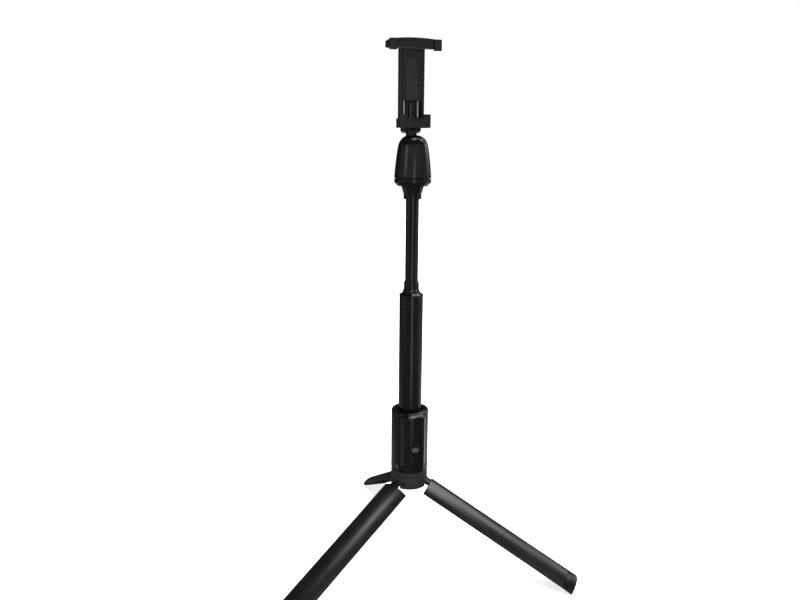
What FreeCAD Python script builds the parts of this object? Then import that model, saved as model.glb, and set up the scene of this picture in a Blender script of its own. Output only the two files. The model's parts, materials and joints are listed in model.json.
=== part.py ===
"""Telescopic selfie stick whose handle splits into three folding tripod legs.

Every sub-part is modelled in the stick's own frame: the telescope axis is the Z axis,
the handle's rim is at z = 0, and the front (remote, clamp opening) faces -Y.  At the end the
parts are turned into their rest pose (legs spread, telescope part way out) and the whole stick
is lifted so that it stands on its feet at z = 0, with its footprint centred on the origin.
"""
import FreeCAD, Part
import os
import re
import Sketcher
from FreeCAD import Placement, Rotation, Vector

# Driving dimensions in millimetres and degrees, one spreadsheet cell each.
DIMENSIONS = {
    # shared: bevel of turned edges, running clearance, assembly gap, overshoot of cutting tools
    "bevel": 0.3, "run": 0.07, "gap": 0.2, "past": 20.0,
    # grip tube of the handle
    "handle_r": 16.5, "handle_bore_r": 12.6, "handle_length": 56.0,
    "rim_depth": 4.2, "rim_hole_r": 11.3, "rim_round": 3.0, "rim_lip": 0.4,
    "sleeve_r": 12.5, "sleeve_top": 12.0, "sleeve_end": 44.0, "sleeve_lead": 0.5,
    # remote control: plug that sits in the grip's window, and raised body with sloping sides
    "plug_half": 8.5, "plug_top": 5.4, "plug_end": 48.5, "plug_back": 12.8, "plug_wall": 1.0,
    "face_r": 19.4, "face_half": 8.7, "face_top": 2.8, "face_end": 49.2, "face_wall": 1.1,
    "base_flare_r": 16.7, "base_half": 11.4, "base_foot_top": 0.8, "base_foot_end": 51.2,
    "base_depth": 8.0, "base_rise": 0.6, "back_plate": 0.6, "back_corner": 2.2,
    "board": 0.55, "board_lift": 2.0, "board_top": 24.0, "board_margin": 1.3,
    "cell_r": 6.25, "cell_thick": 1.6, "cell_depth": 14.5, "cell_lift": 0.05,
    "button_r": 4.35, "button_depth": 32.4, "button_flange_r": 5.3, "button_flange": 0.45,
    "button_face": 19.75, "button_back": 16.9, "button_gap": 0.15,
    "switch_r": 2.5, "switch_thick": 0.45,
    # leg hub and hinges
    "hub_r": 16.4, "hub_top": 56.3, "hub_end": 72.0, "hub_spigot_top": 48.0, "hub_bevel": 0.5,
    "pivot_r": 14.05, "pivot_drop": 66.74, "knuckle_r": 2.4, "knuckle_half": 4.0,
    "knuckle_gap": 0.3, "pin_r": 1.1, "pin_half": 6.0, "pin_hole_half": 9.0, "pin_run": 0.05,
    "hub_screw_drop": 52.0, "hub_screw_end": 11.6, "hub_screw_seat": 14.6, "hub_screw_face": 15.9,
    "hub_thread_end": 10.0,
    # legs: shells cut from the handle's cylinder
    "leg_inner_r": 13.8, "leg_sector": 117.0, "leg_start": 6.2, "leg_length": 159.5,
    "tongue": 16.0, "tongue_depth": 1.7,
    "cap_length": 10.0, "cap_liner_r": 12.2, "cap_liner_sector": 104.0, "cap_liner": 9.0,
    "liner_foot": 6.0, "foot_plug": 6.0, "foot_chord": 7.0, "foot_proud": 0.8, "leg_splay": 60.98,
    # main tube
    "tube_r": 10.25, "tube_bore_r": 9.4, "tube_top": 102.6, "tube_end": 44.3,
    "stop_r": 11.0, "stop_flange": 3.2, "stop_plug": 10.0, "stop_wall": 1.0, "stop_bevel": 0.4,
    "collar_r": 10.45, "collar_plug": 13.0, "collar_flange_top": 103.9, "collar_nose_r": 7.75,
    "collar_nose_top": 105.6,
    # inner stages and rod
    "two_r": 7.2, "two_bore_r": 6.75, "two_top": 108.2, "two_lip_r": 7.35, "two_lip": 2.4,
    "two_end": 32.0, "two_bush": 8.0,
    "three_r": 6.4, "three_bore_r": 5.95, "three_top": 115.3, "three_lip_r": 6.55, "three_lip": 6.8,
    "three_end": 25.0, "guide": 6.0, "bush_length": 14.0, "bush_run": 0.05,
    "rod_r": 5.6, "rod_bore_r": 5.1, "rod_top": 196.0, "rod_foot": 60.0,
    # swivel head
    "neck_foot": 185.0, "neck_r": 7.4, "neck_straight": 4.0, "neck_top_r": 9.4, "neck_top": 196.0,
    "neck_bevel": 0.5,
    "disc_r": 15.3, "disc_slope": 3.0, "disc_top": 202.0, "spigot_r": 5.0, "spigot_top": 210.0,
    "washer_in_r": 8.0, "washer_out_r": 13.0, "washer": 0.5, "washer_gap": 0.03,
    "dome_foot": 202.6, "dome_foot_r": 15.4, "dome_side_r": 12.35, "dome_side_top": 228.6,
    "dome_side_arc": 95.0, "dome_crown_r": 3.5, "dome_crown_arc": 10.0, "dome_top": 237.3,
    "dome_crown_drop": 0.4, "dome_floor": 3.0,
    "slot_half": 4.0, "slot_front": -3.8, "slot_floor": 214.0,
    "tilt_y": 5.0, "tilt_z": 224.0, "tilt_pin_r": 1.5, "tilt_pin_half": 10.5, "tilt_run": 0.06,
    "tilt_washer": 0.5, "tilt_washer_r": 4.2,
    "arm_half": 3.4, "arm_eye_r": 4.6, "arm_top": 243.0, "arm_neck": 6.0, "arm_flange": 2.8,
    "arm_flange_half": 8.0,
    "swivel_screw_r": 1.5, "swivel_head_r": 3.4, "swivel_head": 2.0, "swivel_bore_r": 2.1,
    # phone clamp
    "clamp_half": 10.5, "clamp_front": 5.5, "clamp_back": 12.5, "clamp_foot": 243.0,
    "clamp_top": 305.5, "clamp_wall": 2.2, "clamp_floor": 1.6, "clamp_round": 1.6, "block_top": 251.0,
    "bridge": 4.0, "rail_x": 6.0, "rail_y": 9.3, "rail_r": 1.2, "rail_foot": 246.0,
    "lower_half": 13.0, "lower_top": 250.4, "lower_round": 1.2, "lower_flank": 6.5,
    "lower_back": 9.5, "hook_back": -3.2, "hook_front": -7.0, "hook_width": 5.9,
    "lower_hook_top": 253.6,
    "screw_x": 5.6, "screw_y": 9.0, "screw_r": 1.2, "screw_end": 245.5, "screw_head_r": 2.2,
    "screw_head": 1.4, "screw_head_run": 0.15,
    "spring_r": 1.45, "spring_wire": 0.3, "spring_foot": 251.3, "spring_top": 264.2,
    "spring_pitch": 1.1,
    # sliding upper jaw
    "plate_half": 8.1, "plate_front": 5.3, "plate_back": 7.6, "plate_foot": 264.5,
    "carriage_back": 10.7, "carriage": 4.5, "bar_step": 0.5,
    "jaw_half": 21.3, "jaw_under": 305.8, "jaw_end_top": 311.0, "jaw_arch_r": 152.0,
    "jaw_round": 1.4, "upper_hook_foot": 302.9,
    "pad_half": 4.7, "pad_foot": 265.9, "pad_top": 298.5, "pad_proud": 0.7, "pad_round": 1.2,
    "seat_pad": 1.0, "seat_margin": 0.4,
}

# Directions of the three legs, in degrees from the front towards +X.
LEGS = {"right": 60, "left": -60, "rear": 180}

doc = FreeCAD.newDocument("SelfieStick")
sheet = doc.addObject("Spreadsheet::Sheet", "Dim")
for row, (alias, size) in enumerate(DIMENSIONS.items(), start=1):
    sheet.set("A%d" % row, alias)
    sheet.set("B%d" % row, str(size))
    sheet.setAlias("B%d" % row, alias)
doc.recompute()


# ---------------------------------------------------------------- formulas
def formula(text):
    """A sheet formula: every dimension name in the text gets the sheet's prefix."""
    def prefixed(word):
        return "Dim." + word[0] if word[0] in DIMENSIONS else word[0]
    return re.sub(r"\b[a-z]\w*", prefixed, str(text))


def size(text):
    """The number that a formula gives now."""
    return float(sheet.evalExpression(formula(text)))


def bind(feature, **properties):
    """Bind properties, written with __ for a dot, to sheet formulas."""
    for name, text in properties.items():
        feature.setExpression(name.replace("__", "."), formula(text))


# ---------------------------------------------------------------- sketches and bodies
def new_body(label):
    body = doc.addObject("PartDesign::Body", label)
    body.Label = label
    return body


def origin_plane(body, role):
    return next(item for item in body.Origin.OriginFeatures if item.Role == role)


def outline(body, name, role, points, arcs=None, offset="0"):
    """A closed, fully constrained sketch through the points.

    points are pairs of formulas; arcs gives the radius formula of the arc that runs from a
    point's index to the next point, with a leading ">" where it bulges to the left of that way.
    """
    arcs = arcs or {}
    sketch = body.newObject("Sketcher::SketchObject", name)
    sketch.AttachmentSupport = [(origin_plane(body, role), "")]
    sketch.MapMode = "FlatFace"
    bind(sketch, AttachmentOffset__Base__z=offset)
    places = [Vector(size(across), size(up), 0) for across, up in points]
    ends = []
    for index, start in enumerate(places):
        finish = places[(index + 1) % len(places)]
        if index in arcs:
            left = arcs[index].startswith(">")
            radius = size(arcs[index].lstrip(">"))
            middle = arc_middle(start, finish, radius, left)
            curve = Part.Arc(start, middle, finish)
            geometry = sketch.addGeometry(curve, False)
            drawn = sketch.Geometry[geometry]
            forward = drawn.StartPoint.distanceToPoint(start) < drawn.EndPoint.distanceToPoint(start)
            ends.append((geometry, 1, 2) if forward else (geometry, 2, 1))
        else:
            ends.append((sketch.addGeometry(Part.LineSegment(start, finish), False), 1, 2))
    for index, (across, up) in enumerate(points):
        geometry, first, _ = ends[index]
        before, _, last = ends[index - 1]
        sketch.addConstraint(Sketcher.Constraint("Coincident", before, last, geometry, first))
        for kind, text in (("DistanceX", across), ("DistanceY", up)):
            spot = sketch.addConstraint(Sketcher.Constraint(kind, -1, 1, geometry, first, size(text)))
            sketch.setExpression("Constraints[%d]" % spot, formula(text))
    for index, text in arcs.items():
        radius = text.lstrip(">")
        spot = sketch.addConstraint(Sketcher.Constraint("Radius", ends[index][0], size(radius)))
        sketch.setExpression("Constraints[%d]" % spot, formula(radius))
    return sketch


def arc_middle(start, finish, radius, left):
    """The middle point of the shorter arc between two points."""
    chord = finish - start
    rise = radius - (radius ** 2 - (chord.Length / 2) ** 2) ** 0.5
    side = Vector(-chord.y, chord.x, 0).normalize() * (rise if left else -rise)
    return (start + finish) * 0.5 + side


def turned(label, points, arcs=None):
    """A body turned about the stick's axis from a half section of (radius, height) points."""
    body = new_body(label)
    sketch = outline(body, label + "_section", "XZ_Plane", points, arcs)
    turn = body.newObject("PartDesign::Revolution", label + "_turn")
    turn.Profile = sketch
    turn.ReferenceAxis = (sketch, ["V_Axis"])
    turn.Angle = 360
    sketch.Visibility = False
    return body


def pad(body, name, role, points, start, length, arcs=None):
    """Pad an outline from the plane at start, along that plane's normal."""
    sketch = outline(body, name + "_outline", role, points, arcs, start)
    grown = body.newObject("PartDesign::Pad", name)
    grown.Profile = sketch
    bind(grown, Length=length)
    return grown


def pocket(body, name, role, points, start, length, arcs=None):
    """Cut an outline away from the plane at start, along that plane's normal."""
    sketch = outline(body, name + "_outline", role, points, arcs, start)
    cut_away = body.newObject("PartDesign::Pocket", name)
    cut_away.Profile = sketch
    cut_away.Reversed = True
    bind(cut_away, Length=length)
    return cut_away


def rectangle(left, right, low, high):
    return [(left, low), (right, low), (right, high), (left, high)]


def round_edges(body, name, radius, chosen):
    """Fillet the edges of the body's tip that the test picks."""
    doc.recompute()
    base = body.Tip
    names = ["Edge%d" % (index + 1) for index, edge in enumerate(base.Shape.Edges) if chosen(edge)]
    fillet = body.newObject("PartDesign::Fillet", name)
    fillet.Base = (base, names)
    bind(fillet, Radius=radius)
    return fillet


# ---------------------------------------------------------------- primitives and booleans
def box(name, x, y, z):
    """A box between pairs of formulas along each axis."""
    block = doc.addObject("Part::Box", name)
    bind(block, Placement__Base__x=x[0], Placement__Base__y=y[0], Placement__Base__z=z[0],
         Length="(%s) - (%s)" % (x[1], x[0]), Width="(%s) - (%s)" % (y[1], y[0]),
         Height="(%s) - (%s)" % (z[1], z[0]))
    return block


AXIS_TURNS = {"z": Rotation(), "x": Rotation(Vector(0, 1, 0), 90), "y": Rotation(Vector(1, 0, 0), -90)}


def rod(name, radius, along, start, finish, centre=("0", "0")):
    """A round bar along an axis; centre holds its other two coordinates in X, Y, Z order."""
    bar = doc.addObject("Part::Cylinder", name)
    bar.Placement = Placement(Vector(), AXIS_TURNS[along])
    others = [axis for axis in "xyz" if axis != along]
    spots = {along: start, others[0]: centre[0], others[1]: centre[1]}
    bind(bar, Radius=radius, Height="(%s) - (%s)" % (finish, start),
         Placement__Base__x=spots["x"], Placement__Base__y=spots["y"], Placement__Base__z=spots["z"])
    return bar


def sector(name, inner, outer, angle, low, high):
    """Part of a tube wall, centred on the -Y direction."""
    walls = []
    for kind, radius in (("outer", outer), ("inner", inner)):
        wall = doc.addObject("Part::Cylinder", "%s_%s" % (name, kind))
        turn = -90 - size(angle) / 2 if kind == "outer" else 0
        wall.Placement = Placement(Vector(), Rotation(Vector(0, 0, 1), turn))
        bind(wall, Radius=radius, Placement__Base__z=low, Height="(%s) - (%s)" % (high, low))
        walls.append(wall)
    bind(walls[0], Angle=angle)
    return cut(name, walls[0], walls[1])


def cut(name, base, *tools):
    result = base
    for index, tool in enumerate(tools):
        step = doc.addObject("Part::Cut", name if index == len(tools) - 1 else "%s_cut_%d" % (name, index))
        step.Base = result
        step.Tool = tool
        result = step
    return result


def fuse(name, *pieces):
    joined = doc.addObject("Part::MultiFuse", name)
    joined.Shapes = list(pieces)
    joined.Refine = True
    return joined


def common(name, first, second):
    shared = doc.addObject("Part::Common", name)
    shared.Base = first
    shared.Tool = second
    return shared


def group(name, pieces):
    """Identical small pieces kept as separate solids of one sub-part."""
    bundle = doc.addObject("Part::Compound", name)
    bundle.Links = pieces
    return bundle


def turned_copy(name, source, degrees):
    """A copy of a piece turned about the stick's axis."""
    copy = doc.addObject("Part::Compound", name)
    copy.Links = [source]
    copy.Placement = Placement(Vector(), Rotation(Vector(0, 0, 1), degrees))
    return copy


# ---------------------------------------------------------------- handle
def rim_ring():
    """Rounded ring that closes the top of the grip round the tube."""
    return turned("rim_ring", [
        ("rim_hole_r", "-rim_depth"), ("handle_r", "-rim_depth"), ("handle_r", "-rim_round"),
        ("handle_r - rim_round", "0"), ("rim_hole_r + rim_lip", "0"), ("rim_hole_r", "-rim_lip")],
        {2: "rim_round"})


def handle_shell():
    """Grip shell with the window that holds the remote."""
    wall = turned("handle_wall", [
        ("handle_bore_r", "-handle_length"), ("handle_r - bevel", "-handle_length"),
        ("handle_r", "-handle_length + bevel"), ("handle_r", "-rim_depth - bevel"),
        ("handle_r - bevel", "-rim_depth"), ("handle_bore_r", "-rim_depth")])
    window = box("remote_window", ("-plug_half - gap", "plug_half + gap"), ("-past", "-base_depth"),
                 ("-plug_end - gap", "-plug_top + gap"))
    holes = []
    for side, azimuth in LEGS.items():
        hole = rod("shell_hole_" + side, "pin_r", "y", "-past", "-base_depth", ("0", "-hub_screw_drop"))
        sink = rod("shell_sink_" + side, "screw_head_r", "y", "-past", "-hub_screw_seat",
                   ("0", "-hub_screw_drop"))
        holes.append(turned_copy("shell_bore_" + side, fuse("shell_step_" + side, hole, sink), azimuth))
    return cut("handle_shell", wall, window, *holes)


def guide_sleeve():
    """Plastic bush that guides the main tube inside the grip."""
    return turned("guide_sleeve", [
        ("tube_r + run", "-sleeve_end"), ("sleeve_r", "-sleeve_end"), ("sleeve_r", "-sleeve_top"),
        ("tube_r + run + sleeve_lead", "-sleeve_top"), ("tube_r + run", "-sleeve_top - sleeve_lead")])


def leg_hub():
    """Ring under the grip with three slots for the leg knuckles."""
    ring = turned("hub_ring", [
        ("rim_hole_r", "-hub_end"), ("hub_r - hub_bevel", "-hub_end"), ("hub_r", "-hub_end + hub_bevel"),
        ("hub_r", "-hub_top"), ("sleeve_r", "-hub_top"), ("sleeve_r", "-hub_spigot_top"),
        ("rim_hole_r", "-hub_spigot_top")])
    cuts = []
    for side, azimuth in LEGS.items():
        slot = box("hub_slot_" + side, ("-knuckle_half - knuckle_gap", "knuckle_half + knuckle_gap"),
                   ("-past", "-hub_thread_end"),
                   ("-hub_end - past", "-pivot_drop + knuckle_r + knuckle_gap"))
        hole = rod("hub_pin_hole_" + side, "pin_r", "x", "-pin_hole_half", "pin_hole_half",
                   ("-pivot_r", "-pivot_drop"))
        thread = rod("hub_thread_" + side, "pin_r", "y", "-sleeve_r - gap", "-hub_thread_end",
                     ("0", "-hub_screw_drop"))
        cuts.append(turned_copy("hub_cut_" + side, fuse("hub_seat_" + side, slot, hole, thread), azimuth))
    return cut("leg_hub", ring, *cuts)


def hub_screws():
    """Three flush screws that hold the grip shell on the hub."""
    screws = []
    for side, azimuth in LEGS.items():
        shank = rod("hub_shank_" + side, "pin_r", "y", "-hub_screw_seat", "-hub_screw_end",
                    ("0", "-hub_screw_drop"))
        head = rod("hub_head_" + side, "screw_head_r - screw_head_run", "y", "-hub_screw_face",
                   "-hub_screw_seat", ("0", "-hub_screw_drop"))
        screws.append(turned_copy("hub_screw_" + side, fuse("hub_bolt_" + side, shank, head), azimuth))
    return group("hub_screws", screws)


# ---------------------------------------------------------------- remote control
def remote_front():
    """Front shell of the remote: a raised body on the grip and a hollow plug in its window."""
    across = new_body("remote_across")
    face_y = "-sqrt(face_r ^ 2 - face_half ^ 2)"
    flare_y = "-sqrt(base_flare_r ^ 2 - base_half ^ 2)"
    pad(across, "remote_across_pad", "XY_Plane", [
        ("base_half", flare_y), ("base_half", "-base_depth"), ("-base_half", "-base_depth"),
        ("-base_half", flare_y), ("-face_half", face_y), ("face_half", face_y)],
        "-base_foot_end", "base_foot_end - base_foot_top", {4: "face_r"})
    along = new_body("remote_along")
    pad(along, "remote_along_pad", "YZ_Plane", [
        ("-base_depth", "-base_foot_end"), ("-base_flare_r + base_rise", "-base_foot_end"),
        ("-face_r", "-face_end"), ("-face_r", "-face_top"),
        ("-base_flare_r + base_rise", "-base_foot_top"), ("-base_depth", "-base_foot_top")],
        "-past", "2 * past")
    raised = cut("remote_raised", common("remote_block", across, along),
                 rod("remote_seat", "handle_r + run", "z", "-base_foot_end - 1", "0"))
    plug = common("remote_plug", box("remote_plug_box", ("-plug_half", "plug_half"),
                                     ("-past", "-plug_back - back_plate"), ("-plug_end", "-plug_top")),
                  rod("remote_plug_round", "base_flare_r + gap", "z", "-base_foot_end", "0"))
    cavity = common("remote_cavity", box(
        "remote_cavity_box", ("-plug_half + plug_wall", "plug_half - plug_wall"),
        ("-past", "-plug_back - back_plate"), ("-plug_end + plug_wall", "-plug_top - plug_wall")),
        rod("remote_cavity_round", "face_r - face_wall", "z", "-base_foot_end", "0"))
    hole = rod("remote_button_hole", "button_r + button_gap", "y", "-face_r - 1", "-plug_back - 1",
               ("0", "-button_depth"))
    return cut("remote_front", fuse("remote_shell", raised, plug), cavity, hole)


def is_plate_corner(edge):
    """The short edges along Y at the corners of a flat plate."""
    if len(edge.Vertexes) != 2 or edge.Curve.TypeId != "Part::GeomLine":
        return False
    way = (edge.Vertexes[1].Point - edge.Vertexes[0].Point).normalize()
    return abs(way.y) > 0.9


def remote_back():
    """Flat back cover of the remote."""
    body = new_body("remote_back")
    pad(body, "remote_back_plate", "XZ_Plane",
        rectangle("-plug_half", "plug_half", "-plug_end", "-plug_top"), "plug_back", "back_plate")
    round_edges(body, "remote_back_corners", "back_corner", is_plate_corner)
    return body


def remote_board():
    """Circuit board behind the button."""
    body = new_body("remote_board")
    pad(body, "board_plate", "XZ_Plane",
        rectangle("-plug_half + board_margin", "plug_half - board_margin", "-plug_end + board_margin",
                  "-board_top"), "plug_back + back_plate + board_lift", "board")
    return body


def remote_disc(label, radius, depth, lift, thickness):
    """A round piece of the remote, lifted off the back cover and flat in its plane."""
    back = "-plug_back - back_plate - (%s)" % lift
    disc = rod(label + "_disc", radius, "y", "(%s) - (%s)" % (back, thickness), back, ("0", "-(%s)" % depth))
    return group(label, [disc])


def shutter_button():
    """Push button with a collar that keeps it in the shell."""
    stem = rod("button_stem", "button_r", "y", "-button_face", "-button_back", ("0", "-button_depth"))
    collar = rod("button_collar", "button_flange_r", "y", "-button_back - button_flange", "-button_back",
                 ("0", "-button_depth"))
    return fuse("shutter_button", stem, collar)


# ---------------------------------------------------------------- legs
def leg_shell(label):
    """A third of the grip cylinder's wall, with the knuckle that swings on the hub's pin."""
    wall = sector(label + "_wall", "leg_inner_r", "handle_r", "leg_sector",
                  "-pivot_drop - leg_length + cap_length", "-pivot_drop - leg_start")
    tongue = box(label + "_tongue", ("-knuckle_half", "knuckle_half"),
                 ("-leg_inner_r - tongue_depth", "-pivot_r + knuckle_r"),
                 ("-pivot_drop - tongue", "-pivot_drop"))
    eye = rod(label + "_eye", "knuckle_r", "x", "-knuckle_half", "knuckle_half",
              ("-pivot_r", "-pivot_drop"))
    hole = rod(label + "_hole", "pin_r + pin_run", "x", "-pin_half", "pin_half",
               ("-pivot_r", "-pivot_drop"))
    return cut(label, fuse(label + "_solid", wall, tongue, eye), hole)


def foot_cap(label):
    """Moulded end cap that carries on the leg's outer shape."""
    foot = "-pivot_drop - leg_length"
    end = sector(label + "_end", "leg_inner_r", "handle_r", "leg_sector", foot, foot + " + cap_length")
    liner = sector(label + "_liner", "cap_liner_r", "leg_inner_r", "cap_liner_sector",
                   foot + " + liner_foot", foot + " + cap_length + cap_liner")
    return fuse(label, end, liner)


def foot_pad(label):
    """Rubber plug that closes the leg's end and stands on the floor."""
    foot = "-pivot_drop - leg_length - foot_proud"
    plug = doc.addObject("Part::Cylinder", label + "_plug")
    plug.Placement = Placement(Vector(), Rotation(Vector(0, 0, 1), -90 - size("leg_sector") / 2 + 1))
    bind(plug, Radius="leg_inner_r", Angle="leg_sector - 2", Height="foot_plug + foot_proud",
         Placement__Base__z=foot)
    relief = box(label + "_relief", ("-past", "past"), ("-foot_chord", "0"),
                 (foot + " - 1", foot + " + foot_plug + foot_proud + 1"))
    return cut(label, plug, relief)


def leg_pin(label):
    """Hinge pin, along the tangent of the hub."""
    pin = rod(label + "_bar", "pin_r", "x", "-pin_half", "pin_half", ("-pivot_r", "-pivot_drop"))
    return group(label, [pin])


# ---------------------------------------------------------------- telescope
def main_tube():
    return turned("main_tube", [
        ("tube_bore_r", "-tube_end"), ("tube_r", "-tube_end"), ("tube_r", "tube_top"),
        ("tube_bore_r", "tube_top")])


def main_tube_stop():
    """Flanged plug in the tube's lower end, which stops under the guide sleeve."""
    return turned("main_tube_stop", [
        ("tube_bore_r - stop_wall", "-tube_end - stop_flange"),
        ("stop_r - stop_bevel", "-tube_end - stop_flange"),
        ("stop_r", "-tube_end - stop_flange + stop_bevel"), ("stop_r", "-tube_end"),
        ("tube_bore_r", "-tube_end"), ("tube_bore_r", "-tube_end + stop_plug"),
        ("tube_bore_r - stop_wall", "-tube_end + stop_plug")])


def main_tube_cap():
    """Collar on the tube's top with a sloping nose round the second stage."""
    return turned("main_tube_cap", [
        ("two_r + run", "tube_top - collar_plug"), ("tube_bore_r", "tube_top - collar_plug"),
        ("tube_bore_r", "tube_top"), ("collar_r", "tube_top"), ("collar_r", "collar_flange_top - bevel"),
        ("collar_r - bevel", "collar_flange_top"), ("collar_nose_r", "collar_nose_top"),
        ("two_r + run", "collar_nose_top")])


def stage_tube(stage, guide_bore):
    """A thin tube with a rolled lip at its top and a narrow guide inside the lip."""
    radius, bore, lip_r = stage + "_r", stage + "_bore_r", stage + "_lip_r"
    foot, top = "-%s_end" % stage, stage + "_top"
    lip_foot = "%s - %s_lip" % (top, stage)
    return turned("stage_%s_tube" % stage, [
        (bore, foot), (radius, foot), (radius, lip_foot), (lip_r, lip_foot), (lip_r, top + " - bevel"),
        (lip_r + " - bevel", top), (guide_bore, top), (guide_bore, top + " - guide"),
        (bore, top + " - guide")])


def bush(label, inner, outer, foot, length):
    """Sleeve on the lower end of a stage, which runs in the stage outside it."""
    return turned(label, [(inner, foot), (outer, foot), (outer, "%s + %s" % (foot, length)),
                          (inner, "%s + %s" % (foot, length))])


def rod_tube():
    return turned("rod_tube", [
        ("rod_bore_r", "rod_foot"), ("rod_r", "rod_foot"), ("rod_r", "rod_top"), ("rod_bore_r", "rod_top")])


# ---------------------------------------------------------------- swivel head
def neck_collar():
    """Tapered collar that grips the rod's top."""
    return turned("neck_collar", [
        ("rod_r", "neck_foot"), ("neck_r - neck_bevel", "neck_foot"), ("neck_r", "neck_foot + neck_bevel"),
        ("neck_r", "neck_foot + neck_straight"), ("neck_top_r", "neck_top"), ("rod_r", "neck_top")])


def swivel_base():
    """Disc with the spigot that the head turns on."""
    return turned("swivel_base", [
        ("0", "neck_top"), ("disc_r - disc_slope", "neck_top"), ("disc_r", "neck_top + disc_slope"),
        ("disc_r", "disc_top"), ("spigot_r", "disc_top"), ("spigot_r", "spigot_top"),
        ("swivel_screw_r", "spigot_top"), ("swivel_screw_r", "disc_top + 1"), ("0", "disc_top + 1")])


def swivel_washer():
    return turned("swivel_washer", [
        ("washer_in_r", "disc_top + washer_gap"), ("washer_out_r", "disc_top + washer_gap"),
        ("washer_out_r", "disc_top + washer"), ("washer_in_r", "disc_top + washer")])


def swivel_screw():
    """Shouldered screw that keeps the head on the spigot."""
    under_head = "slot_floor + gap"
    return turned("swivel_screw", [
        ("0", "disc_top + 1.5"), ("swivel_screw_r", "disc_top + 1.5"), ("swivel_screw_r", under_head),
        ("swivel_head_r", under_head), ("swivel_head_r", under_head + " + swivel_head"),
        ("0", under_head + " + swivel_head")])


def head_dome():
    """Domed swivel head with a slot at its back for the clamp's arm."""
    dome = turned("dome_solid", [
        ("swivel_bore_r", "slot_floor - dome_floor"), ("spigot_r + run", "slot_floor - dome_floor"),
        ("spigot_r + run", "dome_foot"), ("dome_foot_r", "dome_foot"), ("dome_side_r", "dome_side_top"),
        ("dome_crown_r", "dome_top - dome_crown_drop"), ("swivel_bore_r", "dome_top")],
        {3: "dome_side_arc", 4: "dome_crown_arc"})
    crown = rod("dome_crown", "swivel_bore_r", "z", "slot_floor + 4", "dome_top")
    slot = box("dome_slot", ("-slot_half", "slot_half"), ("slot_front", "past"),
               ("slot_floor", "dome_top + 1"))
    pin_hole = rod("dome_pin_hole", "tilt_pin_r", "x", "-tilt_pin_half", "past", ("tilt_y", "tilt_z"))
    return cut("head_dome", fuse("dome_closed", dome, crown), slot, pin_hole)


def tilt_pin():
    return group("tilt_pin", [rod("tilt_pin_bar", "tilt_pin_r", "x", "-tilt_pin_half", "tilt_pin_half",
                                  ("tilt_y", "tilt_z"))])


def tilt_washers():
    """Friction washers on each side of the arm's eye."""
    washers = []
    for side, start in (("left", "-slot_half + pin_run"), ("right", "arm_half + pin_run")):
        disc = rod("tilt_disc_" + side, "tilt_washer_r", "x", start, start + " + tilt_washer",
                   ("tilt_y", "tilt_z"))
        hole = rod("tilt_disc_hole_" + side, "tilt_pin_r + tilt_run", "x", "-past", "past",
                   ("tilt_y", "tilt_z"))
        washers.append(cut("tilt_ring_" + side, disc, hole))
    return group("tilt_washers", washers)


def screw_holes(name, low, high):
    """Bores for the two screws that join the arm to the clamp."""
    return [rod("%s_%s" % (name, side), "screw_r", "z", low, high, (across, "screw_y"))
            for side, across in (("left", "-screw_x"), ("right", "screw_x"))]


def tilt_arm():
    """Arm from the tilt pin up to the flange under the clamp."""
    eye = rod("arm_eye", "arm_eye_r", "x", "-arm_half", "arm_half", ("tilt_y", "tilt_z"))
    web = new_body("arm_web")
    pad(web, "arm_web_pad", "YZ_Plane", [
        ("tilt_y - arm_eye_r", "tilt_z"), ("tilt_y + arm_eye_r", "tilt_z"),
        ("clamp_back - 1", "arm_top - arm_neck"), ("clamp_back - 1", "arm_top - 1"),
        ("tilt_y - arm_eye_r + 1", "arm_top - 1")], "-arm_half", "2 * arm_half")
    flange = box("arm_flange_plate", ("-arm_flange_half", "arm_flange_half"),
                 ("clamp_front - 1", "clamp_back"), ("arm_top - arm_flange", "arm_top"))
    hole = rod("arm_hole", "tilt_pin_r + tilt_run", "x", "-past", "past", ("tilt_y", "tilt_z"))
    return cut("tilt_arm", fuse("arm_solid", eye, web, flange), hole,
               *screw_holes("arm_seat", "arm_top - arm_neck", "arm_top + 1"))


# ---------------------------------------------------------------- phone clamp
SIDES = (("left", -1), ("right", 1))


def span(side, outer, width):
    """The low and high X of a block that ends at the outer half width on one side."""
    inner = "%s - %s" % (outer, width)
    return (inner, outer) if side > 0 else ("-" + outer, "-(%s)" % inner)


def clamp_housing():
    """Channel with the lower jaw, open at the front and top for the sliding jaw."""
    body = new_body("clamp_channel")
    inner = "clamp_half - clamp_wall"
    floor = "clamp_back - clamp_floor"
    pad(body, "channel_block", "XY_Plane",
        rectangle("-clamp_half", "clamp_half", "clamp_front", "clamp_back"), "clamp_foot",
        "clamp_top - clamp_foot")
    round_edges(body, "channel_back_round", "clamp_round", is_back_edge)
    pocket(body, "channel_cut", "XY_Plane", rectangle("-(%s)" % inner, inner, "clamp_front - 1", floor),
           "block_top", "clamp_top - block_top + 1")
    pad(body, "rail_bridge", "XY_Plane", rectangle("-(%s)" % inner, inner, "plate_back + gap", floor),
        "clamp_top - bridge", "bridge")
    pad(body, "lower_jaw", "XY_Plane", [
        ("-lower_half", "hook_front"), ("lower_half", "hook_front"), ("lower_half", "lower_flank"),
        ("clamp_half", "lower_back"), ("-clamp_half", "lower_back"), ("-lower_half", "lower_flank")],
        "clamp_foot", "lower_top - clamp_foot")
    for name, side in SIDES:
        pad(body, "lower_hook_" + name, "XY_Plane",
            rectangle(*span(side, "lower_half", "hook_width"), "hook_front", "hook_back"),
            "clamp_foot", "lower_hook_top - clamp_foot")
    round_edges(body, "lower_jaw_round", "lower_round", is_lower_jaw_corner)
    rails = [rod("rail_seat_" + name, "rail_r", "z", "rail_foot", "clamp_top + 1",
                 ("%d * rail_x" % side, "rail_y")) for name, side in SIDES]
    return cut("clamp_housing", body, *rails, *screw_holes("block_thread", "clamp_foot - 1", "screw_end"))


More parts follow.
